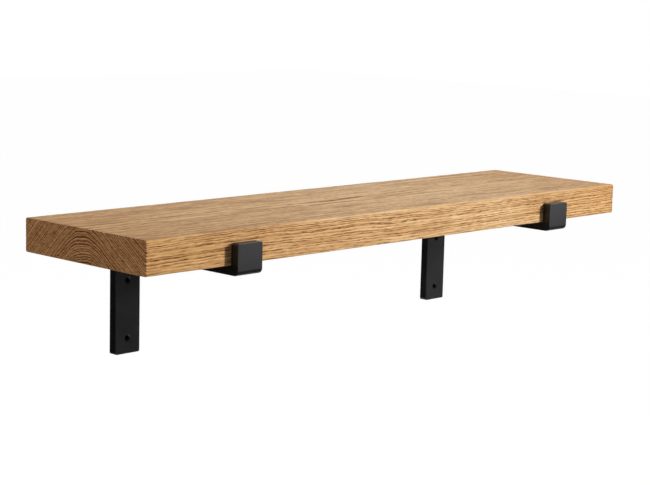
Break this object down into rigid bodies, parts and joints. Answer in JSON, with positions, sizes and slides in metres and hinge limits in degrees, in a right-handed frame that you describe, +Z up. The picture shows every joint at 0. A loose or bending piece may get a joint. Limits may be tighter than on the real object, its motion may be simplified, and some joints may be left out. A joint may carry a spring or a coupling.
{
  "type": "bracket wall shelf",
  "caption": "Wall shelf: a thick solid oak board lying on black flat-bar steel brackets, each with a wall leg below, an arm under the board and a lip turned up in front.",
  "frame": {"origin": "middle of the four wall holes, on the wall plane at the back of the bracket legs", "axes": "+X along the shelf to the right as seen from the front, +Y into the wall, +Z up; the shelf's front faces -Y"},
  "size_m": [0.9, 0.2373, 0.187],
  "materials": {
    "oak": "flat-sawn solid oak, sanded and oiled, satin",
    "black_steel": "black powder coat on bent flat bar, satin",
    "zinc_screw": "zinc-plated wood screw"
  },
  "bodies": {
    "root": {"oak_board": "oak", "left_bracket": "black_steel", "right_bracket": "black_steel", "left_front_board_screw": "zinc_screw", "left_rear_board_screw": "zinc_screw", "right_front_board_screw": "zinc_screw", "right_rear_board_screw": "zinc_screw"}
  },
  "joints": []
}
